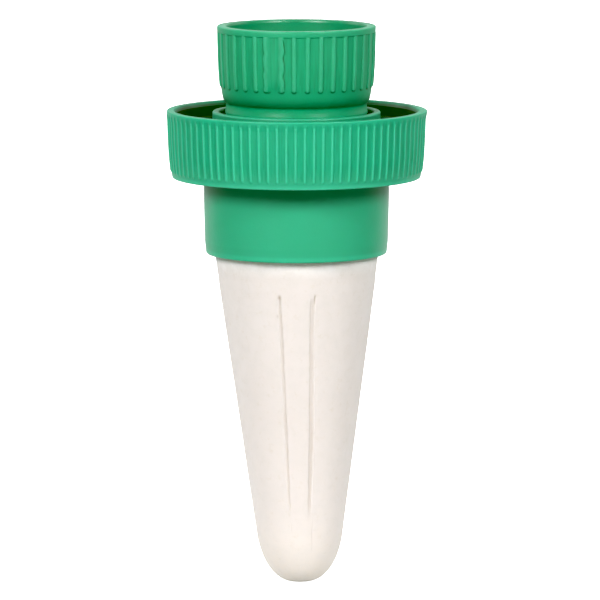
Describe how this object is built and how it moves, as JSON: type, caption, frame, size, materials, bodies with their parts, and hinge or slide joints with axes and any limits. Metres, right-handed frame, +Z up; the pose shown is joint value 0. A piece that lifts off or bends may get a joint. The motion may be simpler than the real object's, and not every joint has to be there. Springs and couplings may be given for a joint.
{
  "type": "self watering spike",
  "caption": "Watering spike: hollow porous clay cone under a green plastic holder whose threaded cup and ribbed dish take the neck of a small or a large upturned bottle.",
  "frame": {"origin": "the tip of the clay cone, on the spike's axis", "axes": "+Z up along the axis from the tip to the cup; the two grooves down the cone face -Y"},
  "size_m": [0.0524, 0.0524, 0.1137],
  "materials": {
    "fired_clay": "matte, porous, unglazed off-white",
    "green_plastic": "semi-gloss injection moulded, mid green",
    "seal_rubber": "satin black rubber"
  },
  "bodies": {
    "spike": {"ceramic_cone": "fired_clay", "cone_seal": "seal_rubber"},
    "head": {"holder": "green_plastic", "large_gasket": "seal_rubber"},
    "neck_ring": {"neck_seal": "seal_rubber"},
    "cup": {"bottle_cup": "green_plastic", "small_gasket": "seal_rubber"}
  },
  "joints": [
    {"name": "head_pull", "type": "slide", "parent": "spike", "child": "head", "axis": [0, 0, 1], "range_m": [0, 0.03]},
    {"name": "cup_rise", "type": "slide", "parent": "head", "child": "neck_ring", "axis": [0, 0, 1], "range_m": [0, 0.0076]},
    {"name": "cup_turn", "type": "hinge", "parent": "neck_ring", "child": "cup", "pos_m": [0, 0, 0.09], "axis": [0, 0, 1], "range_deg": [0, 900]}
  ],
  "couplings": [
    {"joint": "cup_rise", "follows": "cup_turn", "m_per_rad": 0.00047746}
  ]
}
